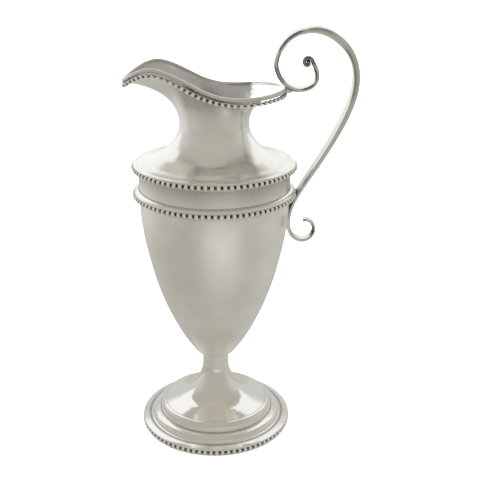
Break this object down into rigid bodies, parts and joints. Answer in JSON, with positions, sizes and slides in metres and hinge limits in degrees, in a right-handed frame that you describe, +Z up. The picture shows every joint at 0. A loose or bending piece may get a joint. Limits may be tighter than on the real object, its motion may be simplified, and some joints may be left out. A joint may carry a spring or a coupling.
{
  "type": "silver water pitcher",
  "caption": "Tall urn-shaped silver water pitcher with a sweeping helmet lip, beaded rims and girdles, a scrolled strap handle and a stepped round foot.",
  "frame": {"origin": "middle of the flat ring that the foot stands on, on the axis of the bowl", "axes": "+Z up along the bowl's axis, -X towards the pouring spout, +X towards the handle, Y across"},
  "size_m": [0.1731, 0.1258, 0.3209],
  "materials": {
    "polished_silver": "soft hand-polished silver, faint hammering and fine wipe marks",
    "beaded_silver": "polished beads with darkened hollows between them",
    "cast_silver": "polished forged strap with eased edges"
  },
  "bodies": {
    "root": {"foot_ring": "polished_silver", "foot_beading": "beaded_silver", "foot_plate": "polished_silver", "pedestal": "polished_silver", "bowl": "polished_silver", "lower_girdle": "polished_silver", "lower_beading": "beaded_silver", "plain_band": "polished_silver", "upper_girdle": "polished_silver", "upper_beading": "beaded_silver", "shoulder": "polished_silver", "lip": "polished_silver", "rim_band": "polished_silver", "rim_beading": "beaded_silver", "handle": "cast_silver", "rim_lug": "cast_silver"}
  },
  "joints": []
}
